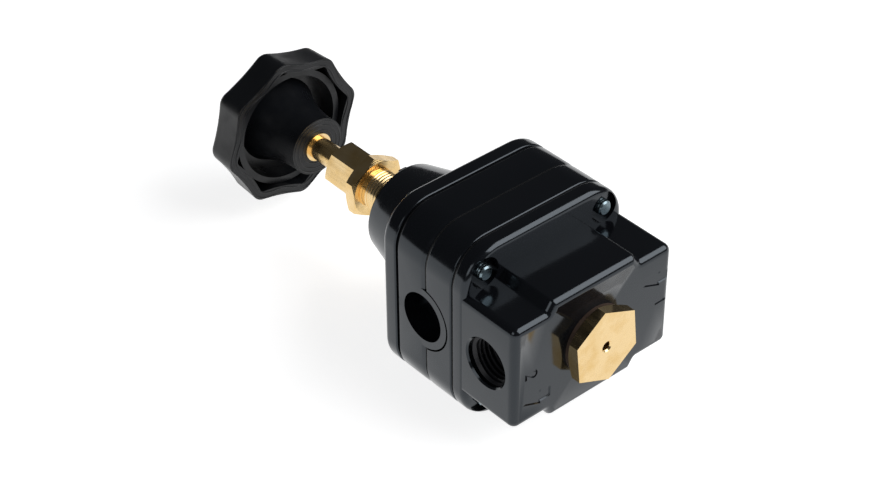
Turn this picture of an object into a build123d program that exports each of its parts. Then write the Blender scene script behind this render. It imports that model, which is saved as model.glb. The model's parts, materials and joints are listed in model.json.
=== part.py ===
"""Panel-mounting pneumatic control valve with an adjusting knob, two ports in line and a brass bottom plug.

Each piece is drawn about the valve axis, on which "station" counts millimetres from the plug face
of the base (0) towards the knob. In that drawing X runs from the outlet to the inlet, and Y points
at the side the valve lies on. place() then lays the valve down: plug face to -Y, knob to +Y, inlet
to +X, resting side on Z = 0, and the origin under the middle of its length. Sizes are in millimetres.
"""

import os
from math import cos, pi, radians, sin, sqrt, tan

from build123d import *

# ---- body stack -------------------------------------------------------------
BODY_WIDTH = 52.0
CORNER_RADIUS = 11.0
BASE_LENGTH = 22.0
FLANGE_THICKNESS = 4.5
GASKET_THICKNESS = 0.5
SPACER_LENGTH = 9.1
DIAPHRAGM_THICKNESS = 0.6
CONTROL_DIAPHRAGM_THICKNESS = 0.9
PILOT_LENGTH = 9.9
BONNET_PLATE_THICKNESS = 5.1
SEAM_INSET = 0.45
CONTROL_SEAM_INSET = 1.0
EDGE_FILLET = 1.9
SEAM_FILLET = 0.5

# ---- base block -------------------------------------------------------------
SIDE_HALF_HEIGHT = 15.2
MIDDLE_HALF_HEIGHT = 17.8
MIDDLE_HALF_WIDTH = 13.3
STEP_RUN = 1.9
BLOCK_FILLET = 2.1
STEP_FILLET = 0.9
PORT_STATION = 10.0
PORT_RADIUS = 6.6
PORT_DEPTH = 13.0
PORT_MOUTH_CHAMFER = 0.45
INLET_PASSAGE_RADIUS = 3.5
OUTLET_PASSAGE_RADIUS = 3.0
MARK_DEPTH = 0.35
MARK_HEIGHT = 3.4
MARK_STROKE = 0.6
MARK_DRAFT = 35.0
ARROW_HEAD = 4.8
ARROW_TAIL = 3.2
ARROW_HALF_HEAD = 1.9
ARROW_HALF_TAIL = 1.3

# ---- gauge bosses -----------------------------------------------------------
BOSS_STATION = 33.0
BOSS_RADIUS = 8.8
BOSS_REACH = 8.0
BOSS_GAP = 0.5
GAUGE_RECESS_RADIUS = 6.8
GAUGE_RECESS_DEPTH = 6.4

# ---- screws -----------------------------------------------------------------
SCREW_PITCH = 39.0
SCREW_RADIUS = 2.0
SCREW_HOLE_RADIUS = 2.2
SCREW_TAP_CLEARANCE = 0.02
SCREW_HEAD_RADIUS = 3.5
SCREW_HEAD_HEIGHT = 2.8
SCREW_SLOT_WIDTH = 1.0
SCREW_SLOT_DEPTH = 1.2
SCREW_HEAD_FILLET = 0.6
SCREW_END_CHAMFER = 0.4
SCREW_TURNS = (25.0, -40.0, 70.0, 10.0)
SCREW_HEAD_SUNK = 0.3
SCREW_END_STATION = 16.9
WASHER_THICKNESS = 0.9
WASHER_RADIUS = 3.6
COUNTERBORE_RADIUS = 4.0
POCKET_RADIUS = 4.2
POCKET_DEPTH = 1.6

# ---- bonnet turret ----------------------------------------------------------
TURRET_STATION = 70.2
TURRET_FOOT_RADIUS = 18.6
TURRET_RIM_RADIUS = 12.7
TURRET_RIM_FILLET = 0.9
SPRING_BORE_RADIUS = 10.5
SPRING_BORE_END = 65.0
CHAMBER_RADIUS = 15.5
BONNET_CHAMBER_DEPTH = 3.2
VENT_RADIUS = 0.9
VENT_STATION = 57.0
NIB_WIDTH = 2.4
NIB_HEIGHT = 1.0
NIB_ANGLE = -90.0

# ---- neck, gland and panel nut ----------------------------------------------
NECK_RADIUS = 5.5
NECK_LENGTH = 14.8
NECK_SEAT_RADIUS = 6.9
NECK_FLANGE_RADIUS = 8.6
NECK_FLANGE_THICKNESS = 1.2
NECK_BORE_RADIUS = 4.4
GLAND_FLATS = 12.0
GLAND_LENGTH = 10.75
GLAND_SHANK_LENGTH = 8.0
GLAND_ANGLE = 51.5
NUT_FLATS = 16.0
NUT_THICKNESS = 3.7
NUT_ANGLE = 27.1
THREAD_CLEARANCE = 0.05
HEX_FACE_INSET = 0.1
HEX_CHAMFER_ANGLE = 30.0

# ---- spindle and knob -------------------------------------------------------
SPINDLE_RADIUS = 3.25
SPINDLE_TIP_STATION = 65.95
KNOB_BOSS_STATION = 106.9
KNOB_RIM_STATION = 117.6
KNOB_DEPTH = 9.9
KNOB_LOBES = 8
KNOB_LOBE_RADIUS = 22.4
KNOB_VALLEY_RADIUS = 20.0
KNOB_LOBE_FILLET = 4.2
KNOB_ANGLE = 37.85
KNOB_DRAFT = 3.0
KNOB_WALL = 2.7
KNOB_RECESS_DEPTH = 7.0
KNOB_TOP_FILLET = 2.0
KNOB_TOP_DISH_RADIUS = 9.0
KNOB_TOP_DISH_DEPTH = 0.5
KNOB_BOSS_RADIUS = 8.4
KNOB_BOSS_WAIST_RADIUS = 9.6
KNOB_BOSS_FOOT_RADIUS = 12.4
KNOB_RING_RADIUS = 17.2
KNOB_RING_THICKNESS = 1.8
KNOB_RING_SUNK = 1.8
INSERT_RADIUS = 4.1
INSERT_LENGTH = 13.0
INSERT_PROUD = 0.5

# ---- range spring and its seats ---------------------------------------------
SEAT_RADIUS = 9.9
SEAT_THICKNESS = 2.5
SEAT_PILOT_RADIUS = 7.0
SEAT_PILOT_HEIGHT = 1.2
BALL_RADIUS = 1.6
BALL_POCKET_CLEARANCE = 0.1
BALL_POCKET_DEPTH = 1.2
SPRING_WIRE_RADIUS = 0.75
SPRING_COILS = 5
SPRING_CLEARANCE = 0.15
RANGE_SPRING_RADIUS = 8.5

# ---- control diaphragm stack ------------------------------------------------
CONTROL_UPPER_RADIUS = 13.0
CONTROL_UPPER_THICKNESS = 1.6
CONTROL_LOWER_RADIUS = 12.0
CONTROL_LOWER_THICKNESS = 1.2
CONTROL_STEM_RADIUS = 2.9
FLAPPER_RADIUS = 4.0
FLAPPER_GAP = 0.5
STEM_HEAD_RADIUS = 4.4
STEM_HEAD_HEIGHT = 1.2
PLATE_BORE_CLEARANCE = 0.03

# ---- pilot body inside ------------------------------------------------------
PILOT_UPPER_DEPTH = 2.6
PILOT_LOWER_DEPTH = 2.3
NOZZLE_RADIUS = 3.0
NOZZLE_BORE_RADIUS = 0.8
NOZZLE_TIP_RADIUS = 1.6
NOZZLE_TIP_HEIGHT = 0.6
ORIFICE_RADIUS = 1.5
ORIFICE_OFFSET = 10.5
ORIFICE_BORE_RADIUS = 0.4

# ---- relay stack and spacer -------------------------------------------------
RELAY_RADIUS = 12.0
RELAY_UPPER_THICKNESS = 1.4
RELAY_LOWER_THICKNESS = 1.2
RELAY_STEM_RADIUS = 2.5
SPACER_UPPER_DEPTH = 3.6
SPACER_LOWER_DEPTH = 2.5
GUIDE_BUSH_RADIUS = 4.0
RUNNING_CLEARANCE = 0.06

# ---- main valve and bottom plug ---------------------------------------------
VALVE_TRAVEL = 1.2
UPPER_CAVITY_RADIUS = 12.0
UPPER_CAVITY_DEPTH = 5.0
SEAT_WEB_THICKNESS = 3.5
SEAT_INSERT_RADIUS = 6.2
SEAT_HOLE_RADIUS = 4.0
SEAT_LIP_RADIUS = 4.8
SEAT_LIP_HEIGHT = 0.5
LOWER_CHAMBER_RADIUS = 7.6
POPPET_RADIUS = 6.0
POPPET_THICKNESS = 3.2
POPPET_FACE_THICKNESS = 0.8
POPPET_STEM_RADIUS = 2.0
POPPET_STEM_LENGTH = 5.0
POPPET_TAIL_RADIUS = 2.5
POPPET_TAIL_LENGTH = 5.0
EXHAUST_RADIUS = 0.9
PLUG_FLATS = 19.0
PLUG_ANGLE = 23.8
PLUG_HEAD_HEIGHT = 3.5
PLUG_WASHER_THICKNESS = 1.1
PLUG_WASHER_RADIUS = 9.4
PLUG_THREAD_RADIUS = 8.5
PLUG_THREAD_LENGTH = 6.5
PLUG_POCKET_RADIUS = 6.4
PLUG_POCKET_DEPTH = 5.0
PLUG_POST_RADIUS = 4.0
PLUG_HOLE_RADIUS = 1.2
VALVE_SPRING_RADIUS = 5.2
VALVE_SPRING_WIRE_RADIUS = 0.4
VALVE_SPRING_COILS = 5

# ---- stations worked out from the stack -------------------------------------
HALF_WIDTH = BODY_WIDTH / 2
FLANGE_STATION = BASE_LENGTH - FLANGE_THICKNESS
SPACER_STATION = BASE_LENGTH + GASKET_THICKNESS
RELAY_SEAM = SPACER_STATION + SPACER_LENGTH
PILOT_STATION = RELAY_SEAM + DIAPHRAGM_THICKNESS
CONTROL_SEAM = PILOT_STATION + PILOT_LENGTH
BONNET_STATION = CONTROL_SEAM + CONTROL_DIAPHRAGM_THICKNESS
TURRET_FOOT = BONNET_STATION + BONNET_PLATE_THICKNESS
GLAND_STATION = TURRET_STATION + NECK_LENGTH
GLAND_END = GLAND_STATION + GLAND_LENGTH
NUT_STATION = GLAND_STATION - NUT_THICKNESS
CONTROL_PLATE_TOP = BONNET_STATION + CONTROL_UPPER_THICKNESS
SEAT_TOP = SPINDLE_TIP_STATION - 0.15 - 2 * BALL_RADIUS + BALL_POCKET_DEPTH
SEAT_BOTTOM = SEAT_TOP - SEAT_THICKNESS
SEAT_WEB_BOTTOM = BASE_LENGTH - UPPER_CAVITY_DEPTH - SEAT_WEB_THICKNESS
POPPET_TOP = SEAT_WEB_BOTTOM - SEAT_LIP_HEIGHT
POPPET_BOTTOM = POPPET_TOP - POPPET_THICKNESS
STEM_MEETING = POPPET_TOP + POPPET_STEM_LENGTH
PLUG_POCKET_BOTTOM = PLUG_THREAD_LENGTH - PLUG_POCKET_DEPTH
PILOT_FLOOR = CONTROL_SEAM - PILOT_UPPER_DEPTH
PILOT_CEILING = PILOT_STATION + PILOT_LOWER_DEPTH
SPACER_WEB_TOP = RELAY_SEAM - SPACER_UPPER_DEPTH
SPACER_WEB_BOTTOM = SPACER_STATION + SPACER_LOWER_DEPTH
SCREW_PLACES = [(x, y) for x in (-SCREW_PITCH / 2, SCREW_PITCH / 2) for y in (-SCREW_PITCH / 2, SCREW_PITCH / 2)]

SCREW_HEAD_STATION = TURRET_FOOT - SCREW_HEAD_SUNK - SCREW_HEAD_HEIGHT
COUNTERBORE_BOTTOM = SCREW_HEAD_STATION - WASHER_THICKNESS
PLUG_END = -PLUG_WASHER_THICKNESS - PLUG_HEAD_HEIGHT
KNOB_TOP = KNOB_RIM_STATION + KNOB_DEPTH
AXIS_LAY = Location((0, -(PLUG_END + KNOB_TOP) / 2, HALF_WIDTH), (-90, 0, 0))


# ---- shared shapes ----------------------------------------------------------
def place(shape):
    """The piece as the valve lies: its axis along Y, and its resting side on Z = 0."""
    return AXIS_LAY * shape


def rod(radius, start, end, at=(0, 0)):
    """A plain cylinder about the valve axis, or about a line beside it."""
    low, high = min(start, end), max(start, end)
    return Pos(at[0], at[1], low) * Cylinder(radius, high - low, align=(Align.CENTER, Align.CENTER, Align.MIN))


def ring(outer, inner, start, end, at=(0, 0)):
    return rod(outer, start, end, at) - rod(inner, start - 1, end + 1, at)


def cross_rod(radius, start, end, station):
    """A cylinder along X from start to end at a station of the valve axis."""
    low, high = min(start, end), max(start, end)
    turned = Rot(0, 90, 0) * Cylinder(radius, high - low, align=(Align.CENTER, Align.CENTER, Align.MIN))
    return Pos(low, 0, station) * turned


def hexagon(flats, start, end, angle):
    """A hexagonal bar with one corner at the given angle from X."""
    corner_radius = flats / sqrt(3)
    angles = [radians(angle + 60 * k) for k in range(6)]
    outline = Polyline(*[(corner_radius * cos(a), corner_radius * sin(a)) for a in angles], close=True)
    return extrude(Plane.XY.offset(start) * make_face(outline), end - start)


def hexagon_cone(flats, end, direction):
    """The cone that trims a hexagon's corners at one end, as a turned chamfer does."""
    reach = flats / sqrt(3) + 1
    face_radius = flats / 2 - HEX_FACE_INSET
    rise = (reach - face_radius) * tan(radians(HEX_CHAMFER_ANGLE))
    cone = Cone(reach, face_radius, rise, align=(Align.CENTER, Align.CENTER, Align.MIN))
    core = rod(reach, -2 * BODY_WIDTH, 0) + cone
    turned = core if direction > 0 else Rot(180, 0, 0) * core
    return Pos(0, 0, end - direction * rise) * turned


def trimmed_hexagon(flats, start, end, angle, at_start=True, at_end=True):
    bar = hexagon(flats, start, end, angle)
    if at_end:
        bar = bar & hexagon_cone(flats, end, 1)
    if at_start:
        bar = bar & hexagon_cone(flats, start, -1)
    return bar


def plate(start, end, inset=0.0):
    """One layer of the body stack: a square with round corners."""
    side = BODY_WIDTH - 2 * inset
    sketch = Plane.XY.offset(start) * RectangleRounded(side, side, CORNER_RADIUS - inset)
    return extrude(sketch, end - start)


def rim_edges(shape, station):
    """The outer outline's edges of a stack layer at one station."""
    found = shape.edges().filter_by_position(Axis.Z, station - 0.001, station + 0.001)
    return [e for e in found if max(abs(e.center().X), abs(e.center().Y)) > HALF_WIDTH - CORNER_RADIUS / 2]


def screw_holes(start, end, radius=SCREW_HOLE_RADIUS):
    holes = [rod(radius, start - 1, end + 1, at) for at in SCREW_PLACES]
    return holes[0] + holes[1:]


def coil(mean_radius, wire_radius, start, end, turns):
    """An open-coiled spring between two stations."""
    rise = end - start - 2 * wire_radius
    path = Pos(0, 0, start + wire_radius) * Helix(pitch=rise / turns, height=rise, radius=mean_radius)
    section = Plane(path @ 0, z_dir=path % 0) * Circle(wire_radius)
    return sweep(section, path=path, is_frenet=True)


# ---- base -------------------------------------------------------------------
def base_block():
    """The cross-shaped block that carries the ports, with its plug face at station 0."""
    step_outside = MIDDLE_HALF_WIDTH + STEP_RUN
    quarter = [
        (HALF_WIDTH, SIDE_HALF_HEIGHT),
        (step_outside, SIDE_HALF_HEIGHT),
        (MIDDLE_HALF_WIDTH, MIDDLE_HALF_HEIGHT),
    ]
    mirrored = [(-x, y) for x, y in reversed(quarter)]
    upper = quarter + mirrored
    lower = [(x, -y) for x, y in reversed(upper)]
    outline = make_face(Polyline(*upper, *lower, close=True))
    outline = fillet([v for v in outline.vertices() if abs(v.X) < HALF_WIDTH - 1], STEP_FILLET)
    outline = fillet([v for v in outline.vertices() if abs(v.X) > HALF_WIDTH - 0.01], BLOCK_FILLET)
    block = extrude(outline, FLANGE_STATION + 1)
    front = block.edges().filter_by_position(Axis.Z, -0.001, 0.001)
    return fillet(front, BLOCK_FILLET)


def arrow(tip_x, tip_y):
    """A flow arrow, sunk into the plug face, that points from the inlet side to the outlet side."""
    points = [
        (0, 0),
        (ARROW_HEAD, ARROW_HALF_HEAD),
        (ARROW_HEAD, ARROW_HALF_TAIL),
        (ARROW_HEAD + ARROW_TAIL, ARROW_HALF_TAIL),
        (ARROW_HEAD + ARROW_TAIL, -ARROW_HALF_TAIL),
        (ARROW_HEAD, -ARROW_HALF_TAIL),
        (ARROW_HEAD, -ARROW_HALF_HEAD),
    ]
    floor = Plane.XY.offset(MARK_DEPTH) * Pos(tip_x, tip_y) * make_face(Polyline(*points, close=True))
    return extrude(floor, -2 * MARK_DEPTH, taper=-MARK_DRAFT)


def figure(strokes, x, y):
    """A port number, sunk into the plug face, from strokes drawn with its top towards X."""
    shape = trace(strokes, MARK_STROKE)
    return extrude(Plane.XY.offset(-1) * Pos(x, y) * shape, 1 + MARK_DEPTH)


def figure_one(x, y):
    half = MARK_HEIGHT / 2
    stem = Line((-half, 0), (half, 0))
    flag = Line((half, 0), (half - 0.9, -0.9))
    return figure([stem, flag], x, y)


def figure_two(x, y):
    half, loop = MARK_HEIGHT / 2, MARK_HEIGHT / 3.6
    top = ThreePointArc((half - loop, -loop), (half, 0), (half - loop, loop))
    slope = Line((half - loop, loop), (-half, -loop))
    foot = Line((-half, -loop), (-half, loop))
    return figure([top, slope, foot], x, y)


def port_bore(side):
    """One threaded port with its chamfered mouth, cut from the base."""
    bore = cross_rod(PORT_RADIUS, side * (HALF_WIDTH + 1), side * (HALF_WIDTH - PORT_DEPTH), PORT_STATION)
    mouth = Cone(
        PORT_RADIUS + PORT_MOUTH_CHAMFER,
        PORT_RADIUS,
        PORT_MOUTH_CHAMFER,
        align=(Align.CENTER, Align.CENTER, Align.MIN),
    )
    return bore + Pos(side * HALF_WIDTH, 0, PORT_STATION) * Rot(0, -90 * side, 0) * mouth


def outlet_passage():
    """The slanting drilling from the outlet port up to the cavity above the valve seat."""
    start_x, start_station = -(HALF_WIDTH - PORT_DEPTH + 1.0), PORT_STATION + 1.0
    end_x, end_station = -(UPPER_CAVITY_RADIUS - 3.0), BASE_LENGTH - UPPER_CAVITY_DEPTH + 1.5
    run = Vector(end_x - start_x, 0, end_station - start_station)
    plane = Plane(origin=(start_x, 0, start_station), z_dir=run)
    return extrude(plane * Circle(OUTLET_PASSAGE_RADIUS), run.length)


def base_body():
    flange = plate(FLANGE_STATION, BASE_LENGTH)
    flange = fillet(rim_edges(flange, FLANGE_STATION), EDGE_FILLET)
    flange = fillet(rim_edges(flange, BASE_LENGTH), SEAM_FILLET)
    body = flange + base_block()
    for at in SCREW_PLACES:
        pocket = rod(POCKET_RADIUS, FLANGE_STATION - 1, FLANGE_STATION + POCKET_DEPTH, at)
        body -= pocket & corner_space(at)
        body -= rod(SCREW_RADIUS + SCREW_TAP_CLEARANCE, FLANGE_STATION, BASE_LENGTH + 1, at)
    body -= rod(UPPER_CAVITY_RADIUS, BASE_LENGTH - UPPER_CAVITY_DEPTH, BASE_LENGTH + 1)
    body -= rod(SEAT_INSERT_RADIUS, SEAT_WEB_BOTTOM - 1, BASE_LENGTH)
    body -= rod(LOWER_CHAMBER_RADIUS, 0, SEAT_WEB_BOTTOM)
    body -= rod(PLUG_THREAD_RADIUS + SCREW_TAP_CLEARANCE, -1, PLUG_THREAD_LENGTH + 0.5)
    body -= port_bore(1)
    body -= port_bore(-1)
    body -= cross_rod(INLET_PASSAGE_RADIUS, 0, HALF_WIDTH - PORT_DEPTH + 1, PORT_STATION)
    body -= outlet_passage()
    body -= arrow(-HALF_WIDTH + 3.8, 8.8)
    body -= figure_two(-HALF_WIDTH + 5.6, 0.4)
    body -= arrow(HALF_WIDTH - 9.0, -6.7)
    body -= figure_one(HALF_WIDTH - 3.4, 1.0)
    return body


def corner_space(at):
    """The half space beyond the port block on one screw's side."""
    side = 1 if at[1] > 0 else -1
    reach = 2 * BODY_WIDTH
    return Pos(0, side * (SIDE_HALF_HEIGHT + reach / 2), 0) * Box(reach, reach, reach)


def base_gasket():
    sheet = plate(BASE_LENGTH, SPACER_STATION, SEAM_INSET)
    return sheet - rod(CHAMBER_RADIUS, 0, TURRET_STATION) - screw_holes(BASE_LENGTH, SPACER_STATION)


# ---- spacer and pilot bodies ------------------------------------------------
def boss_shape(side, radius, reach):
    """A gauge boss, or with more radius and reach the space that clears it."""
    return cross_rod(radius, side * HALF_WIDTH, side * (HALF_WIDTH - reach), BOSS_STATION)


def boss_space():
    """The room that the two gauge bosses take out of the spacer and the relay diaphragm."""
    spaces = [boss_shape(side, BOSS_RADIUS + BOSS_GAP, BOSS_REACH + BOSS_GAP) for side in (1, -1)]
    return spaces[0] + spaces[1]


def spacer_body():
    body = plate(SPACER_STATION, RELAY_SEAM)
    body = fillet(rim_edges(body, SPACER_STATION) + rim_edges(body, RELAY_SEAM), SEAM_FILLET)
    body -= boss_space()
    body -= rod(CHAMBER_RADIUS, SPACER_WEB_TOP, RELAY_SEAM + 1)
    body -= rod(CHAMBER_RADIUS, SPACER_STATION - 1, SPACER_WEB_BOTTOM)
    body -= rod(GUIDE_BUSH_RADIUS, SPACER_STATION, RELAY_SEAM)
    body -= screw_holes(SPACER_STATION, RELAY_SEAM)
    return body


def guide_bush():
    return ring(GUIDE_BUSH_RADIUS, RELAY_STEM_RADIUS + RUNNING_CLEARANCE, SPACER_WEB_BOTTOM, SPACER_WEB_TOP)


def relay_diaphragm():
    sheet = plate(RELAY_SEAM, PILOT_STATION, SEAM_INSET) - boss_space()
    sheet -= rod(RELAY_STEM_RADIUS + PLATE_BORE_CLEARANCE, RELAY_SEAM - 1, PILOT_STATION + 1)
    return sheet - screw_holes(RELAY_SEAM, PILOT_STATION)


def pilot_body():
    body = plate(PILOT_STATION, CONTROL_SEAM)
    body = chamfer(rim_edges(body, PILOT_STATION), 1.3, 0.35)
    body = fillet(rim_edges(body, CONTROL_SEAM), SEAM_FILLET)
    for side in (1, -1):
        body += boss_shape(side, BOSS_RADIUS, BOSS_REACH)
        body -= cross_rod(
            GAUGE_RECESS_RADIUS,
            side * (HALF_WIDTH + 1),
            side * (HALF_WIDTH - GAUGE_RECESS_DEPTH),
            BOSS_STATION,
        )
    body -= rod(CHAMBER_RADIUS, PILOT_FLOOR, CONTROL_SEAM + 1)
    body -= rod(CHAMBER_RADIUS, SPACER_STATION, PILOT_CEILING)
    body -= rod(NOZZLE_RADIUS, PILOT_STATION, CONTROL_SEAM)
    body -= rod(ORIFICE_RADIUS, PILOT_STATION, CONTROL_SEAM, (0, ORIFICE_OFFSET))
    body -= screw_holes(SPACER_STATION, CONTROL_SEAM)
    return body


def nozzle():
    tip = rod(NOZZLE_TIP_RADIUS, PILOT_FLOOR, PILOT_FLOOR + NOZZLE_TIP_HEIGHT)
    body = rod(NOZZLE_RADIUS, PILOT_CEILING, PILOT_FLOOR) + tip
    return body - rod(NOZZLE_BORE_RADIUS, PILOT_CEILING - 1, CONTROL_SEAM)


def bleed_orifice():
    return ring(ORIFICE_RADIUS, ORIFICE_BORE_RADIUS, PILOT_CEILING, PILOT_FLOOR, (0, ORIFICE_OFFSET))


def control_diaphragm():
    sheet = plate(CONTROL_SEAM, BONNET_STATION, CONTROL_SEAM_INSET)
    sheet -= rod(CONTROL_STEM_RADIUS + PLATE_BORE_CLEARANCE, CONTROL_SEAM - 1, BONNET_STATION + 1)
    return sheet - screw_holes(CONTROL_SEAM, BONNET_STATION)


# ---- bonnet -----------------------------------------------------------------
def bonnet():
    body = plate(BONNET_STATION, TURRET_FOOT)
    body = fillet(rim_edges(body, TURRET_FOOT), EDGE_FILLET)
    body = fillet(rim_edges(body, BONNET_STATION), SEAM_FILLET)
    turret = Cone(
        TURRET_FOOT_RADIUS,
        TURRET_RIM_RADIUS,
        TURRET_STATION - TURRET_FOOT,
        align=(Align.CENTER, Align.CENTER, Align.MIN),
    )
    turret = fillet(turret.edges().sort_by(Axis.Z)[-1], TURRET_RIM_FILLET)
    body += Pos(0, 0, TURRET_FOOT) * turret
    body += panel_nib()
    body -= rod(CHAMBER_RADIUS, BONNET_STATION - 1, BONNET_STATION + BONNET_CHAMBER_DEPTH)
    body -= rod(SPRING_BORE_RADIUS, BONNET_STATION, SPRING_BORE_END)
    body -= rod(NECK_SEAT_RADIUS, SPRING_BORE_END - 1, TURRET_STATION + 1)
    body -= screw_holes(BONNET_STATION, TURRET_FOOT)
    body -= screw_holes(COUNTERBORE_BOTTOM + 1, TURRET_FOOT, COUNTERBORE_RADIUS)
    vent = Rot(-90, 0, 0) * Cylinder(VENT_RADIUS, BODY_WIDTH, align=(Align.CENTER, Align.CENTER, Align.MIN))
    return body - Pos(0, 0, VENT_STATION) * vent


def panel_nib():
    """The small nib on the turret's face that stops the valve turning in a panel."""
    inner = NECK_SEAT_RADIUS + 2.4
    outer = TURRET_RIM_RADIUS - TURRET_RIM_FILLET
    box = Box(outer - inner, NIB_WIDTH, NIB_HEIGHT + 0.5, align=(Align.MIN, Align.CENTER, Align.MIN))
    return Pos(0, 0, TURRET_STATION - 0.5) * Rot(0, 0, NIB_ANGLE) * Pos(inner, 0, 0) * box


def neck_bush():
    seat = rod(NECK_SEAT_RADIUS, SPRING_BORE_END, TURRET_STATION)
    neck = rod(NECK_RADIUS, TURRET_STATION, GLAND_STATION)
    neck = chamfer(neck.edges().sort_by(Axis.Z)[-1], 0.4)
    flange = rod(NECK_FLANGE_RADIUS, SPRING_BORE_END - NECK_FLANGE_THICKNESS, SPRING_BORE_END)
    body = seat + neck + flange
    gland_start = GLAND_STATION - GLAND_SHANK_LENGTH
    body -= rod(SPINDLE_RADIUS + 0.3, SPRING_BORE_END - 3, GLAND_STATION + 1)
    return body - rod(NECK_BORE_RADIUS, gland_start - 0.5, GLAND_STATION + 1)


def gland_hex():
    head = trimmed_hexagon(GLAND_FLATS, GLAND_STATION, GLAND_END, GLAND_ANGLE, at_start=False)
    shank = rod(NECK_BORE_RADIUS - 0.02, GLAND_STATION - GLAND_SHANK_LENGTH, GLAND_STATION)
    return head + shank - rod(SPINDLE_RADIUS + THREAD_CLEARANCE, TURRET_STATION, GLAND_END + 1)


def panel_nut():
    nut = trimmed_hexagon(NUT_FLATS, NUT_STATION, GLAND_STATION, NUT_ANGLE)
    return nut - rod(NECK_RADIUS + THREAD_CLEARANCE, NUT_STATION - 1, GLAND_STATION + 1)


# ---- screws -----------------------------------------------------------------
def body_screw(at, turn):
    """A slotted screw, sunk in the bonnet, whose end stands in the base's corner pocket."""
    head_end = SCREW_HEAD_STATION + SCREW_HEAD_HEIGHT
    shank = rod(SCREW_RADIUS, SCREW_END_STATION, SCREW_HEAD_STATION)
    shank = chamfer(shank.edges().sort_by(Axis.Z)[0], SCREW_END_CHAMFER)
    head = rod(SCREW_HEAD_RADIUS, SCREW_HEAD_STATION, head_end)
    head = fillet(head.edges().sort_by(Axis.Z)[-1], SCREW_HEAD_FILLET)
    slot = Box(3 * SCREW_HEAD_RADIUS, SCREW_SLOT_WIDTH, 2 * SCREW_SLOT_DEPTH)
    screw = shank + head - Pos(0, 0, head_end) * slot
    return Pos(at[0], at[1], 0) * Rot(0, 0, turn) * screw


def screw_washer(at):
    return ring(WASHER_RADIUS, SCREW_HOLE_RADIUS, COUNTERBORE_BOTTOM, SCREW_HEAD_STATION, at)


# ---- knob and spindle -------------------------------------------------------
def knob_outline(shrink=0.0):
    """The lobed outline: round corners joined by shallow hollows."""
    step = 2 * pi / KNOB_LOBES
    corners = [k * step for k in range(KNOB_LOBES)]
    corner_radius = KNOB_LOBE_RADIUS - shrink / cos(step / 2)
    valley_radius = KNOB_VALLEY_RADIUS - shrink
    arcs = []
    for angle in corners:
        start = (corner_radius * cos(angle), corner_radius * sin(angle))
        middle = (valley_radius * cos(angle + step / 2), valley_radius * sin(angle + step / 2))
        end = (corner_radius * cos(angle + step), corner_radius * sin(angle + step))
        arcs.append(ThreePointArc(start, middle, end))
    face = make_face(arcs)
    return fillet(face.vertices(), max(KNOB_LOBE_FILLET - shrink, 0.8))


def knob():
    """A hollow lobed knob with a boss that stands out of its open side."""
    shell = extrude(Plane.XY.offset(KNOB_RIM_STATION) * knob_outline(), KNOB_DEPTH, taper=KNOB_DRAFT)
    shell = fillet(shell.edges().filter_by_position(Axis.Z, KNOB_TOP - 0.001, KNOB_TOP + 0.001), KNOB_TOP_FILLET)
    shell -= extrude(Plane.XY.offset(KNOB_RIM_STATION - 1) * knob_outline(KNOB_WALL), KNOB_RECESS_DEPTH + 1)
    floor = KNOB_RIM_STATION + KNOB_RECESS_DEPTH
    flare = ThreePointArc(
        (KNOB_BOSS_RADIUS, KNOB_BOSS_STATION),
        (KNOB_BOSS_WAIST_RADIUS, KNOB_RIM_STATION),
        (KNOB_BOSS_FOOT_RADIUS, floor),
    )
    sides = Polyline(
        (KNOB_BOSS_FOOT_RADIUS, floor), (KNOB_BOSS_FOOT_RADIUS, floor + 1), (0, floor + 1),
        (0, KNOB_BOSS_STATION), (KNOB_BOSS_RADIUS, KNOB_BOSS_STATION),
    )
    boss = revolve(Plane.XZ * make_face([flare, sides]), Axis.Z)
    rib = ring(KNOB_RING_RADIUS, KNOB_RING_RADIUS - KNOB_RING_THICKNESS, KNOB_RIM_STATION + KNOB_RING_SUNK, floor + 1)
    body = Rot(0, 0, KNOB_ANGLE) * (shell + boss + rib)
    body -= rod(INSERT_RADIUS, KNOB_BOSS_STATION - 1, KNOB_BOSS_STATION + INSERT_LENGTH - INSERT_PROUD)
    return body - rod(KNOB_TOP_DISH_RADIUS, KNOB_TOP - KNOB_TOP_DISH_DEPTH, KNOB_TOP + 1)


def knob_insert():
    start = KNOB_BOSS_STATION - INSERT_PROUD
    return ring(INSERT_RADIUS, SPINDLE_RADIUS, start, start + INSERT_LENGTH)


def adjusting_spindle():
    end = KNOB_BOSS_STATION - INSERT_PROUD + INSERT_LENGTH
    body = rod(SPINDLE_RADIUS, SPINDLE_TIP_STATION, end)
    return chamfer(body.edges().sort_by(Axis.Z)[0], 0.6)


# ---- range spring and control stack -----------------------------------------
def upper_spring_seat():
    body = rod(SEAT_RADIUS, SEAT_BOTTOM, SEAT_TOP)
    body += rod(SEAT_PILOT_RADIUS, SEAT_BOTTOM - SEAT_PILOT_HEIGHT, SEAT_BOTTOM)
    pocket = rod(BALL_RADIUS + BALL_POCKET_CLEARANCE, SEAT_TOP - BALL_POCKET_DEPTH, SEAT_TOP + 1)
    return body - pocket


def thrust_ball():
    return Pos(0, 0, SEAT_TOP - BALL_POCKET_DEPTH + BALL_RADIUS) * Sphere(BALL_RADIUS)


def range_spring():
    start, end = CONTROL_PLATE_TOP + SPRING_CLEARANCE, SEAT_BOTTOM - SPRING_CLEARANCE
    return coil(RANGE_SPRING_RADIUS, SPRING_WIRE_RADIUS, start, end, SPRING_COILS)


def control_plate_upper():
    body = rod(CONTROL_UPPER_RADIUS, BONNET_STATION, CONTROL_PLATE_TOP)
    body += rod(SEAT_PILOT_RADIUS, CONTROL_PLATE_TOP, CONTROL_PLATE_TOP + SEAT_PILOT_HEIGHT)
    return body - rod(CONTROL_STEM_RADIUS + PLATE_BORE_CLEARANCE, BONNET_STATION - 1, SEAT_BOTTOM)


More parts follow.
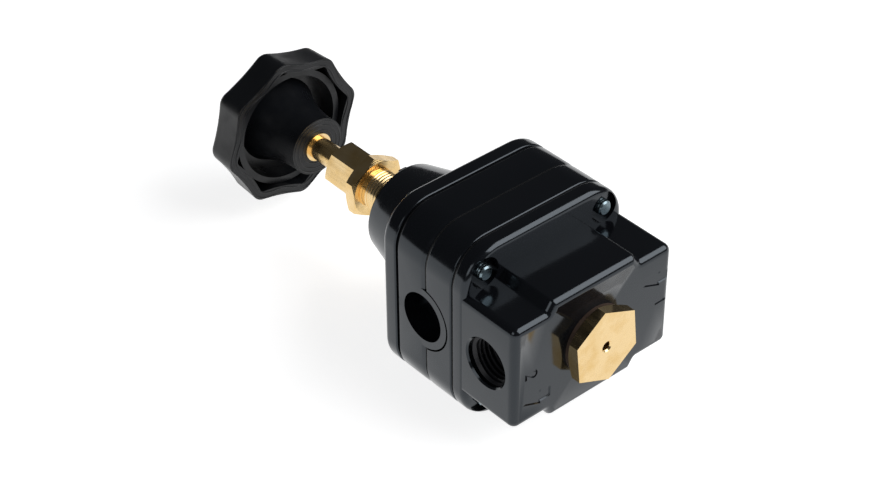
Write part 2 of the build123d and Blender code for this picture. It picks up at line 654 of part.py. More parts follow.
def control_plate_lower():
    start = CONTROL_SEAM - CONTROL_LOWER_THICKNESS
    return ring(CONTROL_LOWER_RADIUS, CONTROL_STEM_RADIUS + PLATE_BORE_CLEARANCE, start, CONTROL_SEAM)


def control_stem():
    """The stem that clamps the control plates, with the flapper face over the nozzle."""
    flapper_start = PILOT_FLOOR + NOZZLE_TIP_HEIGHT + FLAPPER_GAP
    flapper_end = CONTROL_SEAM - CONTROL_LOWER_THICKNESS
    stem_end = CONTROL_PLATE_TOP + SEAT_PILOT_HEIGHT
    body = rod(FLAPPER_RADIUS, flapper_start, flapper_end) + rod(CONTROL_STEM_RADIUS, flapper_end, stem_end)
    return body + rod(STEM_HEAD_RADIUS, stem_end, stem_end + STEM_HEAD_HEIGHT)


# ---- relay stack ------------------------------------------------------------
def relay_plate_upper():
    bore = RELAY_STEM_RADIUS + PLATE_BORE_CLEARANCE
    return ring(RELAY_RADIUS, bore, PILOT_STATION, PILOT_STATION + RELAY_UPPER_THICKNESS)


def relay_plate_lower():
    bore = RELAY_STEM_RADIUS + PLATE_BORE_CLEARANCE
    return ring(RELAY_RADIUS, bore, RELAY_SEAM - RELAY_LOWER_THICKNESS, RELAY_SEAM)


def relay_stem():
    return rod(RELAY_STEM_RADIUS, STEM_MEETING, PILOT_STATION + RELAY_UPPER_THICKNESS)


# ---- main valve and plug ----------------------------------------------------
def valve_seat():
    body = rod(SEAT_INSERT_RADIUS, SEAT_WEB_BOTTOM, SEAT_WEB_BOTTOM + SEAT_WEB_THICKNESS)
    body += rod(SEAT_LIP_RADIUS, POPPET_TOP, SEAT_WEB_BOTTOM)
    return body - rod(SEAT_HOLE_RADIUS, 0, BASE_LENGTH)


def poppet():
    face_bottom = POPPET_TOP - POPPET_FACE_THICKNESS
    body = rod(POPPET_RADIUS, POPPET_BOTTOM, face_bottom) + rod(POPPET_STEM_RADIUS, face_bottom, STEM_MEETING)
    body += rod(POPPET_TAIL_RADIUS, POPPET_BOTTOM - POPPET_TAIL_LENGTH, POPPET_BOTTOM)
    return body - rod(EXHAUST_RADIUS, -1, STEM_MEETING + 1)


def poppet_face():
    return ring(POPPET_RADIUS - 0.2, POPPET_STEM_RADIUS, POPPET_TOP - POPPET_FACE_THICKNESS, POPPET_TOP)


def valve_spring():
    start, end = PLUG_POCKET_BOTTOM + SPRING_CLEARANCE, POPPET_BOTTOM - SPRING_CLEARANCE
    return coil(VALVE_SPRING_RADIUS, VALVE_SPRING_WIRE_RADIUS, start, end, VALVE_SPRING_COILS)


def bottom_plug():
    head_end = -PLUG_WASHER_THICKNESS
    body = trimmed_hexagon(PLUG_FLATS, PLUG_END, head_end, PLUG_ANGLE, at_start=False)
    body += rod(PLUG_THREAD_RADIUS, head_end, PLUG_THREAD_LENGTH)
    pocket = ring(PLUG_POCKET_RADIUS, PLUG_POST_RADIUS, PLUG_POCKET_BOTTOM, PLUG_THREAD_LENGTH + 1)
    body -= pocket
    body -= rod(POPPET_TAIL_RADIUS + RUNNING_CLEARANCE, PLUG_POCKET_BOTTOM, PLUG_THREAD_LENGTH + 1)
    body -= rod(PLUG_HOLE_RADIUS, PLUG_END - 1, PLUG_POCKET_BOTTOM)
    mouth = Cone(PLUG_HOLE_RADIUS + 0.4, PLUG_HOLE_RADIUS, 0.4, align=(Align.CENTER, Align.CENTER, Align.MIN))
    return body - Pos(0, 0, PLUG_END) * mouth


def plug_washer():
    return ring(PLUG_WASHER_RADIUS, PLUG_THREAD_RADIUS + 0.1, -PLUG_WASHER_THICKNESS, 0)


PIECES = {
    "base_body": base_body,
    "base_gasket": base_gasket,
    "spacer_body": spacer_body,
    "guide_bush": guide_bush,
    "relay_diaphragm": relay_diaphragm,
    "pilot_body": pilot_body,
    "pilot_nozzle": nozzle,
    "bleed_orifice": bleed_orifice,
    "control_diaphragm": control_diaphragm,
    "bonnet": bonnet,
    "neck_bush": neck_bush,
    "gland_hex": gland_hex,
    "panel_nut": panel_nut,
    "knob": knob,
    "knob_insert": knob_insert,
    "adjusting_spindle": adjusting_spindle,
    "upper_spring_seat": upper_spring_seat,
    "thrust_ball": thrust_ball,
    "range_spring": range_spring,
    "control_plate_upper": control_plate_upper,
    "control_plate_lower": control_plate_lower,
    "control_stem": control_stem,
    "relay_plate_upper": relay_plate_upper,
    "relay_plate_lower": relay_plate_lower,
    "relay_stem": relay_stem,
    "valve_seat": valve_seat,
    "poppet": poppet,
    "poppet_face": poppet_face,
    "valve_spring": valve_spring,
    "bottom_plug": bottom_plug,
    "plug_washer": plug_washer,
}

os.makedirs("parts", exist_ok=True)
for name, make in PIECES.items():
    export_step(place(make()), f"parts/{name}.step")
for number, (at, turn) in enumerate(zip(SCREW_PLACES, SCREW_TURNS), start=1):
    export_step(place(body_screw(at, turn)), f"parts/body_screw_{number}.step")
    export_step(place(screw_washer(at)), f"parts/screw_washer_{number}.step")
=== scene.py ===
"""Finishes, screw threads and studio for a panel-mounting pneumatic control valve."""

import json
import math

import bmesh
import bpy
from mathutils import Euler, Matrix, Vector


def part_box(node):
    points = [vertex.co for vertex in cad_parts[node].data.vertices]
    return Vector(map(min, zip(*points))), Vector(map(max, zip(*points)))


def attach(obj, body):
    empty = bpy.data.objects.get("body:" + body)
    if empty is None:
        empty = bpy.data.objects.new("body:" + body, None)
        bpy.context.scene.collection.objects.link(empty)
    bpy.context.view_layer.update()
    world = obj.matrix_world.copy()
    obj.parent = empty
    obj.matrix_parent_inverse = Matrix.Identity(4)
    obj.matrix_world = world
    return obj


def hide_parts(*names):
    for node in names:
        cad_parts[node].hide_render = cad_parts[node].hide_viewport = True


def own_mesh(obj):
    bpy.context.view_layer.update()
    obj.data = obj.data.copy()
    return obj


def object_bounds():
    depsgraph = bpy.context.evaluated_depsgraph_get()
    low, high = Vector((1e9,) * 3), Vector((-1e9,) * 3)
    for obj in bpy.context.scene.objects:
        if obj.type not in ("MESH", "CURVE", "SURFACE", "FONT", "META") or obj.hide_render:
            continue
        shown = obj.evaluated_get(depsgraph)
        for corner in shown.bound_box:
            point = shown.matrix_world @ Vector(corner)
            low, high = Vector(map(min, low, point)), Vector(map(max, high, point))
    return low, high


bl_info = {
    "name": "Pneumatic Control Valve",
    "version": (1, 0, 0),
    "blender": (4, 5, 0),
    "location": "View3D > Sidebar > Valve",
    "description": "Finishes the pieces of a pneumatic control valve and builds its studio",
    "category": "Object",
}

MM = 0.001
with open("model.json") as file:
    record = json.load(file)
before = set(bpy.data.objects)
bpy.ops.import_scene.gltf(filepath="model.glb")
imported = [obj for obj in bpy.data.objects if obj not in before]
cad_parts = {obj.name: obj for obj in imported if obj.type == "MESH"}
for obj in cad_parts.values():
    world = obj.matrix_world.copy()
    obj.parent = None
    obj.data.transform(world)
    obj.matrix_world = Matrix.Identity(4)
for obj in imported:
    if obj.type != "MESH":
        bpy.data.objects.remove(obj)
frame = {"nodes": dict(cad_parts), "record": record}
NODES = frame["nodes"]
CAD_BOX = [list(corner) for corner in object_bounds()]

ENAMEL_NODES = ("base_body", "spacer_body", "pilot_body", "bonnet")
PLASTIC_NODES = ("knob",)
TURNED_BRASS_NODES = (
    "neck_bush", "adjusting_spindle", "knob_insert", "pilot_nozzle", "bleed_orifice",
    "valve_seat", "poppet", "guide_bush", "relay_stem", "control_stem",
)
HEX_BRASS_NODES = ("bottom_plug", "panel_nut", "gland_hex")
ZINC_NODES = (
    *(name for name in NODES if name.startswith(("body_screw", "screw_washer"))), "upper_spring_seat",
)
SPRING_NODES = ("thrust_ball", "range_spring", "valve_spring")
ALUMINIUM_NODES = (
    "control_plate_upper", "control_plate_lower", "relay_plate_upper", "relay_plate_lower",
)
RUBBER_NODES = ("base_gasket", "relay_diaphragm", "control_diaphragm", "poppet_face")
FIBRE_NODES = ("plug_washer",)


def middle(node):
    """The centre of a CAD piece's box."""
    low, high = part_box(node)
    return (low + high) / 2


AXIS_POINT = middle("panel_nut")
MOUNTS = {mount["name"]: mount for mount in frame["record"]["mounts"]}


# ---- settings ---------------------------------------------------------------
def length(title, words, default):
    return bpy.props.FloatProperty(
        name=title, description=words, default=default, unit="LENGTH", precision=5
    )


def colour(title, words, default):
    return bpy.props.FloatVectorProperty(
        name=title, description=words, default=default, size=3, subtype="COLOR", min=0.0, max=1.0
    )


def fraction(title, words, default):
    return bpy.props.FloatProperty(
        name=title, description=words, default=default, min=0.0, max=1.0, subtype="FACTOR"
    )


class ValveFinishSettings(bpy.types.PropertyGroup):
    """Colours and gloss of the valve's finishes"""

    enamel: colour("Enamel", "Colour of the stoved black enamel", (0.0042, 0.0047, 0.0060))
    enamel_roughness: fraction("Enamel roughness", "Roughness of the enamel", 0.14)
    plastic: colour("Knob plastic", "Colour of the moulded knob", (0.0055, 0.0062, 0.0078))
    plastic_roughness: fraction("Plastic roughness", "Roughness of the moulded knob", 0.34)
    brass: colour("Brass", "Colour of the bright turned brass", (0.93, 0.69, 0.36))
    brass_dark: colour("Brass tarnish", "Colour of the brass where it has dulled", (0.80, 0.53, 0.20))
    brass_roughness: fraction("Brass roughness", "Roughness of the brass", 0.2)
    zinc: colour("Zinc", "Colour of the zinc plating", (0.27, 0.35, 0.39))
    steel: colour("Spring steel", "Colour of the spring wire", (0.42, 0.43, 0.45))
    aluminium: colour("Aluminium", "Colour of the turned plates", (0.74, 0.75, 0.77))
    rubber: colour("Rubber", "Colour of the gaskets and diaphragms", (0.006, 0.006, 0.007))
    fibre: colour("Fibre", "Colour of the sealing washer", (0.05, 0.03, 0.02))


class ValveDetailSettings(bpy.types.PropertyGroup):
    """Sizes of the details that the finished valve adds"""

    port_minor: length("Port minor radius", "Radius at the crests of the port threads", 5.75 * MM)
    port_pitch: length("Port pitch", "Pitch of the port threads", 1.337 * MM)
    neck_root: length("Neck root radius", "Radius at the roots of the neck thread", 5.45 * MM)
    neck_crest: length("Neck crest radius", "Radius at the crests of the neck thread", 5.78 * MM)
    neck_pitch: length("Neck pitch", "Pitch of the neck thread", 1.0 * MM)
    screw_root: length("Screw root radius", "Radius at the roots of the screw threads", 1.98 * MM)
    screw_crest: length("Screw crest radius", "Radius at the crests of the screw threads", 2.12 * MM)
    screw_pitch: length("Screw pitch", "Pitch of the body screws", 0.7 * MM)
    knob_rim_depth: length(
        "Knob rim depth", "How far the knob's boss stands out of its open rim", 10.7 * MM
    )
    lobe_reach: length("Lobe reach", "Radius of the knob at its lobes", 21.65 * MM)
    hollow_reach: length("Hollow reach", "Radius of the knob between its lobes", 20.0 * MM)
    lobe_angle: bpy.props.FloatProperty(
        name="Lobe angle", description="Where the first lobe stands", default=math.radians(7.15),
        subtype="ANGLE",
    )
    bead: length("Knob bead", "Width of the beads round the knob's open rim", 0.55 * MM)


class ValveStageSettings(bpy.types.PropertyGroup):
    """Camera, lamps and backdrop"""

    camera_place: bpy.props.FloatVectorProperty(
        name="Camera place", description="Where the camera stands", default=(-0.28764, -0.34010, 0.35993),
        size=3, subtype="TRANSLATION", unit="LENGTH",
    )
    camera_turn: bpy.props.FloatVectorProperty(
        name="Camera turn", description="Tilt, roll and azimuth of the camera",
        default=(math.radians(52.47), math.radians(-0.44), math.radians(-40.64)), size=3, subtype="EULER",
    )
    camera_lens: bpy.props.FloatProperty(
        name="Lens", description="Focal length in millimetres", default=88.45
    )
    key_power: bpy.props.FloatProperty(
        name="Key light", description="Power of the key light in watts", default=5.8
    )
    fill_power: bpy.props.FloatProperty(
        name="Fill light", description="Power of the fill in watts", default=1.2
    )
    backdrop: colour("Backdrop", "Colour of the floor", (0.9, 0.9, 0.9))


# ---- shaders ----------------------------------------------------------------
class Shader:
    """A node tree that is wired by short calls."""

    def __init__(self, name):
        self.material = bpy.data.materials.new(name)
        self.material.use_nodes = True
        self.nodes = self.material.node_tree.nodes
        self.links = self.material.node_tree.links
        self.surface = self.nodes["Principled BSDF"]
        self.place = self.nodes.new("ShaderNodeTexCoord").outputs["Object"]

    def add(self, kind, inputs=None, **settings):
        node = self.nodes.new(kind)
        for key, value in settings.items():
            setattr(node, key, value)
        for key, value in (inputs or {}).items():
            if isinstance(value, bpy.types.NodeSocket):
                self.links.new(value, node.inputs[key])
            else:
                node.inputs[key].default_value = value
        return node

    def set(self, **values):
        """Sets the surface's sockets; an underscore in a name stands for a space."""
        for key, value in values.items():
            socket = self.surface.inputs[key.replace("_", " ")]
            if isinstance(value, bpy.types.NodeSocket):
                self.links.new(value, socket)
            else:
                socket.default_value = value

    def noise(self, scale, detail=3.0, roughness=0.5, stretch=None):
        place = self.place
        if stretch:
            place = self.add("ShaderNodeMapping", {"Vector": place, "Scale": stretch}).outputs[0]
        inputs = {"Vector": place, "Scale": scale, "Detail": detail, "Roughness": roughness}
        return self.add("ShaderNodeTexNoise", inputs).outputs["Fac"]

    def ramp(self, value, low, high, low_at=0.3, high_at=0.7):
        """A value carried from one range to another."""
        inputs = {"Value": value, "From Min": low_at, "From Max": high_at, "To Min": low, "To Max": high}
        return self.add("ShaderNodeMapRange", inputs).outputs["Result"]

    def mix(self, value, first, second):
        """A colour between two, by a value; the colour sockets of the node are numbers 6 and 7."""
        node = self.add("ShaderNodeMix", data_type="RGBA")
        self.links.new(value, node.inputs[0])
        node.inputs[6].default_value = (*first, 1.0)
        node.inputs[7].default_value = (*second, 1.0)
        return node.outputs[2]

    def from_axis(self, centre):
        """The distance from the valve's axis, in metres."""
        inputs = {"Vector": self.place, "Location": (-centre.x, 0, -centre.z), "Scale": (1, 0, 1)}
        moved = self.add("ShaderNodeMapping", inputs).outputs[0]
        return self.add("ShaderNodeVectorMath", {0: moved}, operation="LENGTH").outputs["Value"]

    def bump(self, heights, strength=0.3, distance=0.00005):
        """A bump from one or several height values, added up."""
        total = heights[0]
        for height in heights[1:]:
            total = self.add("ShaderNodeMath", {0: total, 1: height}, operation="ADD").outputs[0]
        inputs = {"Height": total, "Strength": strength, "Distance": distance}
        self.set(Normal=self.add("ShaderNodeBump", inputs).outputs["Normal"])


def enamel_finish(settings):
    """Stoved gloss enamel over a die casting: a soft orange peel, and a duller film in places."""
    shader = Shader("black_enamel")
    film = shader.noise(60.0, 4.0)
    shader.set(
        Base_Color=shader.mix(film, settings.enamel, [1.6 * c for c in settings.enamel]),
        Roughness=shader.ramp(
            shader.noise(180.0, 5.0), settings.enamel_roughness * 0.8, settings.enamel_roughness * 1.3
        ),
        IOR=1.58,
        Specular_Tint=(0.80, 0.90, 1.0, 1.0),
    )
    shader.bump([shader.noise(320.0, 2.0)], 0.05, 0.00004)
    return shader.material


def plastic_finish(settings):
    """Moulded charcoal plastic with a fine spark-eroded grain and rubbed lighter patches."""
    shader = Shader("charcoal_plastic")
    rub = shader.noise(45.0, 5.0)
    shader.set(
        Base_Color=shader.mix(rub, settings.plastic, [1.9 * c for c in settings.plastic]),
        Roughness=shader.ramp(
            shader.noise(220.0, 4.0), settings.plastic_roughness * 0.8, settings.plastic_roughness * 1.35
        ),
        IOR=1.43,
    )
    shader.bump([shader.noise(2600.0, 2.0), shader.noise(400.0, 2.0)], 0.25, 0.00005)
    return shader.material


def brass_finish(name, settings, centre, line_scale, stretch):
    """Bright brass: lines from the tool, a little tarnish and uneven gloss."""
    shader = Shader(name)
    patches = shader.ramp(shader.noise(160.0, 5.0, 0.6), 0.0, 1.0, 0.42, 0.72)
    reach = shader.from_axis(centre)
    scaled = shader.add("ShaderNodeMath", {0: reach, 1: line_scale}, operation="MULTIPLY").outputs[0]
    rings = shader.add("ShaderNodeMath", {0: scaled}, operation="SINE").outputs[0]
    drawn = shader.noise(500.0, 3.0, 0.6, stretch)
    shader.set(
        Base_Color=shader.mix(patches, settings.brass, settings.brass_dark),
        Metallic=1.0,
        Roughness=shader.ramp(drawn, settings.brass_roughness * 0.7, settings.brass_roughness * 1.5),
    )
    shader.bump([rings, drawn], 0.12, 0.00002)
    return shader.material


def metal_finish(name, tint, roughness, centre, line_scale=9000.0):
    """Turned or plated metal with fine rings."""
    shader = Shader(name)
    reach = shader.from_axis(centre)
    scaled = shader.add("ShaderNodeMath", {0: reach, 1: line_scale}, operation="MULTIPLY").outputs[0]
    rings = shader.add("ShaderNodeMath", {0: scaled}, operation="SINE").outputs[0]
    shader.set(
        Base_Color=shader.mix(shader.noise(300.0, 4.0), tint, [0.75 * c for c in tint]),
        Metallic=1.0,
        Roughness=shader.ramp(shader.noise(900.0, 3.0), roughness * 0.7, roughness * 1.4),
    )
    shader.bump([rings], 0.03, 0.00001)
    return shader.material


def soft_finish(name, tint, roughness, weave):
    """Rubber or pressed fibre with a faint cloth pattern."""
    shader = Shader(name)
    shader.set(
        Base_Color=shader.mix(shader.noise(260.0, 4.0), tint, [1.7 * c for c in tint]),
        Roughness=shader.ramp(shader.noise(500.0, 3.0), roughness * 0.8, min(1.0, roughness * 1.2)),
    )
    shader.bump([shader.noise(weave, 2.0)], 0.35, 0.00005)
    return shader.material


# ---- mesh helpers -----------------------------------------------------------
def smooth_tree(angle_degrees):
    """A modifier tree that joins a piece's triangles and keeps only its real corners sharp."""
    tree = bpy.data.node_groups.new("smooth_by_angle", "GeometryNodeTree")
    tree.interface.new_socket("Geometry", in_out="INPUT", socket_type="NodeSocketGeometry")
    tree.interface.new_socket("Geometry", in_out="OUTPUT", socket_type="NodeSocketGeometry")
    add, link = tree.nodes.new, tree.links.new
    start, end = add("NodeGroupInput"), add("NodeGroupOutput")
    merge = add("GeometryNodeMergeByDistance")
    merge.inputs["Distance"].default_value = 1e-6
    faces, edges = add("GeometryNodeSetShadeSmooth"), add("GeometryNodeSetShadeSmooth")
    edges.domain = "EDGE"
    edges.inputs["Shade Smooth"].default_value = False
    angle, sharp = add("GeometryNodeInputMeshEdgeAngle"), add("FunctionNodeCompare")
    sharp.inputs[1].default_value = math.radians(angle_degrees)
    link(start.outputs[0], merge.inputs["Geometry"])
    link(merge.outputs["Geometry"], faces.inputs["Geometry"])
    link(faces.outputs[0], edges.inputs["Geometry"])
    link(angle.outputs["Unsigned Angle"], sharp.inputs[0])
    link(sharp.outputs["Result"], edges.inputs["Selection"])
    link(edges.outputs[0], end.inputs[0])
    return tree


def smooth(piece, tree):
    modifier = piece.modifiers.new("smooth_by_angle", "NODES")
    modifier.node_group = tree


def finish_nodes(names, material):
    for name in names:
        piece = NODES[name]
        piece.data.materials.clear()
        piece.data.materials.append(material)


def make_piece(name, mesh, material, body, smooth_angle=35.0):
    """Turns a bmesh into a piece that rides on a body."""
    bmesh.ops.remove_doubles(mesh, verts=mesh.verts, dist=1e-7)
    bmesh.ops.recalc_face_normals(mesh, faces=mesh.faces)
    data = bpy.data.meshes.new(name)
    mesh.to_mesh(data)
    mesh.free()
    data.materials.append(material)
    piece = bpy.data.objects.new(name, data)
    bpy.context.scene.collection.objects.link(piece)
    data.shade_smooth()
    data.set_sharp_from_angle(angle=math.radians(smooth_angle))
    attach(piece, body)
    return piece


def spun(mesh, profile, centre, steps=96):
    """Turns (distance, station) points right round the valve's axis."""
    verts = [mesh.verts.new((centre.x + r, y, centre.z)) for r, y in profile]
    edges = [mesh.edges.new(pair) for pair in zip(verts, verts[1:])]
    bmesh.ops.spin(
        mesh, geom=verts + edges, cent=centre, axis=(0, 1, 0), angle=math.tau, steps=steps,
        use_merge=True,
    )


def helix_ridge(mesh, centre, axis, root, crest, start, turns, pitch, steps=48):
    """A screw thread's ridge about an axis, which fades out at both ends.

    Root, flat and fade are shares of the pitch. The fade moves the points near the crest only.
    """
    root_share, flat_share, fade_share = 0.46, 0.12, 0.75
    axis = Vector(axis)
    out = Vector((1, 0, 0)) if abs(axis.x) < 0.5 else Vector((0, 0, 1))
    base = Vector(centre) - axis * Vector(centre).dot(axis)
    half, top = pitch * root_share, pitch * flat_share
    section = [(root, -half), (crest, -top), (crest, top), (root, half)]
    verts = [mesh.verts.new(base + out * r + axis * (start + offset)) for r, offset in section]
    edges = [mesh.edges.new(pair) for pair in zip(verts, verts[1:])]
    count = int(turns * steps)
    bmesh.ops.spin(
        mesh, geom=verts + edges, cent=base, axis=axis, dvec=axis * (pitch * turns / count),
        angle=math.tau * turns, steps=count, use_merge=False,
    )
    fade = fade_share * pitch
    for vert in mesh.verts:
        along = (vert.co - base).dot(axis)
        reach = vert.co - base - axis * along
        near_end = min(along - start, start + pitch * turns - along)
        share = min(1.0, max(0.0, near_end / fade))
        if abs(reach.length - crest) < 0.25 * abs(crest - root) and share < 1.0:
            vert.co = base + axis * along + reach.normalized() * (root + (crest - root) * share)


def torus_band(mesh, centre, station, reach, width, height, facing):
    """A low round-topped ring on a flat end face."""
    profile = [
        (reach - width / 2, station),
        (reach - width / 4, station + facing * height * 0.8),
        (reach, station + facing * height),
        (reach + width / 4, station + facing * height * 0.8),
        (reach + width / 2, station),
    ]
    spun(mesh, profile, centre)


# ---- operators --------------------------------------------------------------
class VALVE_OT_finishes(bpy.types.Operator):
    """Give every piece of the valve its finish"""

    bl_idname = "valve.finishes"
    bl_label = "Finishes"

    def execute(self, context):
        settings = context.scene.valve_finish
        finish_nodes(ENAMEL_NODES, enamel_finish(settings))
        finish_nodes(PLASTIC_NODES, plastic_finish(settings))
        turned, drawn = (1.0, 8.0, 1.0), (1.0, 0.05, 1.0)
        turned_brass = brass_finish("turned_brass", settings, AXIS_POINT, 30000.0, turned)
        finish_nodes(TURNED_BRASS_NODES, turned_brass)
        finish_nodes(HEX_BRASS_NODES, brass_finish("drawn_brass", settings, AXIS_POINT, 15000.0, drawn))
        finish_nodes(ZINC_NODES, metal_finish("zinc_plate", settings.zinc, 0.28, AXIS_POINT))
        finish_nodes(SPRING_NODES, metal_finish("spring_steel", settings.steel, 0.3, AXIS_POINT))
        finish_nodes(ALUMINIUM_NODES, metal_finish("turned_aluminium", settings.aluminium, 0.3, AXIS_POINT))
        finish_nodes(RUBBER_NODES, soft_finish("nitrile_rubber", settings.rubber, 0.55, 2500.0))
        finish_nodes(FIBRE_NODES, soft_finish("vulcanised_fibre", settings.fibre, 0.6, 1800.0))
        tree = smooth_tree(28.0)
        for piece in NODES.values():
            smooth(piece, tree)
        return {"FINISHED"}


class VALVE_OT_port_threads(bpy.types.Operator):
    """Cut the threads in the inlet and outlet ports"""

    bl_idname = "valve.port_threads"
    bl_label = "Port threads"

    def execute(self, context):
        detail = context.scene.valve_detail
        low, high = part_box("base_body")
        for name, side in (("inlet_port", 1), ("outlet_port", -1)):
            mount = MOUNTS[name]
            wall = mount["dims"]["r_mm"] * MM
            centre = Vector(mount["pos_m"])
            run = mount["dims"]["length_mm"] * MM - 2.2 * detail.port_pitch
            face = high.x if side > 0 else low.x
            start = face - detail.port_pitch - run if side > 0 else face + detail.port_pitch
            mesh = bmesh.new()
            turns = round(run / detail.port_pitch)
            root = wall + 0.03 * MM
            helix_ridge(mesh, centre, (1, 0, 0), root, detail.port_minor, start, turns, detail.port_pitch)
            enamel = bpy.data.materials["black_enamel"]
            make_piece(f"{name}_thread", mesh, enamel, "valve_body")
        return {"FINISHED"}


class VALVE_OT_neck_thread(bpy.types.Operator):
    """Cut the fine thread on the brass neck between the turret and the panel nut"""

    bl_idname = "valve.neck_thread"
    bl_label = "Neck thread"

    def execute(self, context):
        detail = context.scene.valve_detail
        seat = MOUNTS["panel_seat"]["pos_m"][1]
        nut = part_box("panel_nut")[0].y
        turns = int((nut - seat) / detail.neck_pitch) - 0.5
        start = (seat + nut - turns * detail.neck_pitch) / 2
        mesh = bmesh.new()
        helix_ridge(
            mesh, AXIS_POINT, (0, 1, 0), detail.neck_root, detail.neck_crest, start, turns,
            detail.neck_pitch,
        )
        make_piece("neck_thread", mesh, bpy.data.materials["turned_brass"], "valve_body")
        return {"FINISHED"}


class VALVE_OT_screw_threads(bpy.types.Operator):
    """Cut the threads that show on the ends of the body screws"""

    bl_idname = "valve.screw_threads"
    bl_label = "Screw threads"

    def execute(self, context):
        detail = context.scene.valve_detail
        for number in range(1, 5):
            low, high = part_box(f"body_screw_{number}")
            centre = (low + high) / 2
            mesh = bmesh.new()
            start = low.y + detail.screw_pitch
            helix_ridge(
                mesh, centre, (0, 1, 0), detail.screw_root, detail.screw_crest, start, 2.5,
                detail.screw_pitch, steps=32,
            )
            zinc = bpy.data.materials["zinc_plate"]
            make_piece(f"screw_thread_{number}", mesh, zinc, "valve_body")
        return {"FINISHED"}


class VALVE_OT_knob_details(bpy.types.Operator):
    """Add the beads on the knob's open rim and the rings on its boss"""

    bl_idname = "valve.knob_details"
    bl_label = "Knob details"

    def execute(self, context):
        detail = context.scene.valve_detail
        low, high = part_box("knob")
        rim = low.y + detail.knob_rim_depth
        plastic = bpy.data.materials["charcoal_plastic"]
        for name, inset in (("knob_outer_bead", 0.55 * MM), ("knob_inner_bead", 2.15 * MM)):
            mesh = bmesh.new()
            self.bead(mesh, rim, inset, detail.bead)
            make_piece(name, mesh, plastic, "adjuster", 60.0)
        mesh = bmesh.new()
        for reach in (5.0 * MM, 6.5 * MM, 7.7 * MM):
            torus_band(mesh, AXIS_POINT, low.y, reach, 0.5 * MM, 0.14 * MM, -1)
        make_piece("knob_boss_rings", mesh, plastic, "adjuster", 60.0)
        return {"FINISHED"}

    def bead(self, mesh, rim, inset, width, steps=256, sides=5):
        """A half-round bead that follows the knob's lobed outline on its rim."""
        detail = bpy.context.scene.valve_detail
        mean = (detail.lobe_reach + detail.hollow_reach) / 2
        swing = (detail.lobe_reach - detail.hollow_reach) / 2
        loops = []
        for step in range(steps):
            angle = math.tau * step / steps
            reach = mean - inset + swing * math.cos(8 * (angle - detail.lobe_angle))
            out = Vector((math.cos(angle), 0, math.sin(angle)))
            loop = []
            for side in range(sides):
                turn = math.pi * side / (sides - 1)
                spot = AXIS_POINT + out * (reach + width * 0.5 * math.cos(turn))
                loop.append(mesh.verts.new((spot.x, rim - width * 0.35 * math.sin(turn), spot.z)))
            loops.append([mesh.edges.new(pair) for pair in zip(loop, loop[1:])])
        for first, second in zip(loops, loops[1:] + loops[:1]):
            bmesh.ops.bridge_loops(mesh, edges=first + second)


class VALVE_OT_springs(bpy.types.Operator):
    """Copy the two springs into pieces of their own on the valve body, in place of the CAD springs"""

    bl_idname = "valve.springs"
    bl_label = "Springs"

    def execute(self, context):
        steel = bpy.data.materials["spring_steel"]
        for node, joint in (("range_spring", "seat_travel"), ("valve_spring", "main_valve_travel")):
            mesh = bmesh.new()
            mesh.from_mesh(NODES[node].data)
            piece = make_piece(f"{node}_coil", mesh, steel, "valve_body")
            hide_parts(node)
            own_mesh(piece)
        return {"FINISHED"}


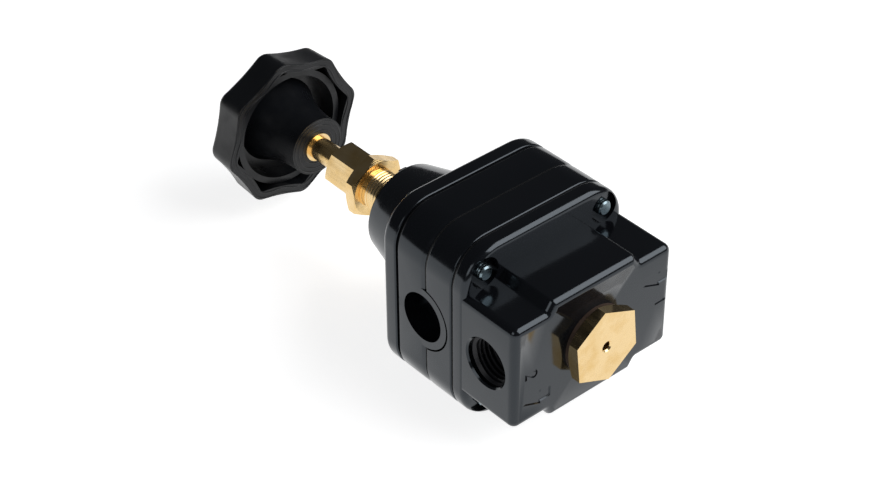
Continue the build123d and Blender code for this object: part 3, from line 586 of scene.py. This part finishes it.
class VALVE_OT_stage(bpy.types.Operator):
    """Place the camera, the lamps and the floor"""

    bl_idname = "valve.stage"
    bl_label = "Stage"

    def execute(self, context):
        stage = context.scene.valve_stage
        self.camera(context, stage)
        self.floor(stage)
        self.world(context)
        middle_point = Vector((CAD_BOX[0][i] + CAD_BOX[1][i]) / 2 for i in range(3))
        self.lamp("key", middle_point, (0.485, -0.60, 0.64), 0.9, (0.8, 0.75), stage.key_power)
        self.lamp("fill", middle_point, (-0.95, -0.25, 0.55), 1.1, (0.5, 0.5), stage.fill_power)
        return {"FINISHED"}

    def camera(self, context, stage):
        data = bpy.data.cameras.new("camera")
        data.sensor_width = 36.0
        data.lens = stage.camera_lens
        camera = bpy.data.objects.new("camera", data)
        tilt, roll, azimuth = stage.camera_turn
        turn = Euler((tilt, 0, azimuth)).to_matrix() @ Euler((0, 0, roll)).to_matrix()
        camera.matrix_world = Matrix.Translation(stage.camera_place) @ turn.to_4x4()
        context.scene.collection.objects.link(camera)
        context.scene.camera = camera

    def floor(self, stage):
        mesh = bmesh.new()
        bmesh.ops.create_grid(mesh, x_segments=1, y_segments=1, size=6.0)
        data = bpy.data.meshes.new("floor")
        mesh.to_mesh(data)
        mesh.free()
        floor = bpy.data.objects.new("floor", data)
        bpy.context.scene.collection.objects.link(floor)
        shader = Shader("floor")
        shader.set(Base_Color=(*stage.backdrop, 1.0), Roughness=0.9, Specular_IOR_Level=0.0)
        path = shader.nodes.new("ShaderNodeLightPath").outputs
        mirrored = shader.add(
            "ShaderNodeMath", {0: path["Is Glossy Ray"], 1: path["Is Transmission Ray"]}, operation="MAXIMUM"
        ).outputs[0]
        pale = shader.add("ShaderNodeEmission", {"Color": (1, 1, 1, 1), "Strength": 0.8}).outputs[0]
        white = shader.add("ShaderNodeEmission", {"Color": (1, 1, 1, 1), "Strength": 1.0}).outputs[0]
        lit = shader.surface.outputs[0]
        shaded = shader.add("ShaderNodeAddShader", {0: lit, 1: pale}).outputs[0]
        seen = shader.add("ShaderNodeMixShader", {0: path["Is Camera Ray"], 1: lit, 2: shaded}).outputs[0]
        both = shader.add("ShaderNodeMixShader", {0: mirrored, 1: seen, 2: white})
        shader.links.new(both.outputs[0], shader.nodes["Material Output"].inputs["Surface"])
        data.materials.append(shader.material)

    def world(self, context):
        world = bpy.data.worlds.new("studio")
        world.use_nodes = True
        context.scene.world = world
        nodes, links = world.node_tree.nodes, world.node_tree.links
        path = nodes.new("ShaderNodeLightPath")
        dim = nodes["Background"]
        dim.inputs["Color"].default_value = (0.05, 0.052, 0.056, 1.0)
        bright = nodes.new("ShaderNodeBackground")
        bright.inputs["Color"].default_value = (1, 1, 1, 1)
        mix = nodes.new("ShaderNodeMixShader")
        links.new(path.outputs["Is Camera Ray"], mix.inputs[0])
        links.new(dim.outputs[0], mix.inputs[1])
        links.new(bright.outputs[0], mix.inputs[2])
        links.new(mix.outputs[0], nodes["World Output"].inputs["Surface"])

    def lamp(self, name, target, direction, reach, size, power):
        data = bpy.data.lights.new(name, "AREA")
        data.shape = "RECTANGLE"
        data.size, data.size_y = size
        data.energy = power
        lamp = bpy.data.objects.new(name, data)
        away = Vector(direction).normalized()
        turn = away.to_track_quat("Z", "Y").to_matrix().to_4x4()
        lamp.matrix_world = Matrix.Translation(target + away * reach) @ turn
        bpy.context.scene.collection.objects.link(lamp)


class VALVE_PT_panel(bpy.types.Panel):
    """The valve's operators and settings"""

    bl_idname = "VALVE_PT_panel"
    bl_label = "Valve"
    bl_space_type = "VIEW_3D"
    bl_region_type = "UI"
    bl_category = "Valve"

    def draw(self, context):
        for operator in OPERATORS:
            self.layout.operator(operator.bl_idname)
        for settings in (context.scene.valve_finish, context.scene.valve_detail, context.scene.valve_stage):
            box = self.layout.box()
            for name in settings.__annotations__:
                box.prop(settings, name)


SETTINGS = {
    "valve_finish": ValveFinishSettings,
    "valve_detail": ValveDetailSettings,
    "valve_stage": ValveStageSettings,
}
OPERATORS = (
    VALVE_OT_stage, VALVE_OT_finishes, VALVE_OT_port_threads, VALVE_OT_neck_thread, VALVE_OT_screw_threads,
    VALVE_OT_knob_details, VALVE_OT_springs,
)


def register():
    for kind in (*SETTINGS.values(), *OPERATORS, VALVE_PT_panel):
        bpy.utils.register_class(kind)
    for name, kind in SETTINGS.items():
        setattr(bpy.types.Scene, name, bpy.props.PointerProperty(type=kind))


def unregister():
    for name in SETTINGS:
        delattr(bpy.types.Scene, name)
    for kind in reversed((*SETTINGS.values(), *OPERATORS, VALVE_PT_panel)):
        bpy.utils.unregister_class(kind)


def main():
    register()
    bpy.context.scene.view_settings.view_transform = "Standard"
    bpy.ops.valve.stage()
    bpy.ops.valve.finishes()
    bpy.ops.valve.port_threads()
    bpy.ops.valve.neck_thread()
    bpy.ops.valve.screw_threads()
    bpy.ops.valve.knob_details()
    bpy.ops.valve.springs()


if __name__ == "__main__":
    main()
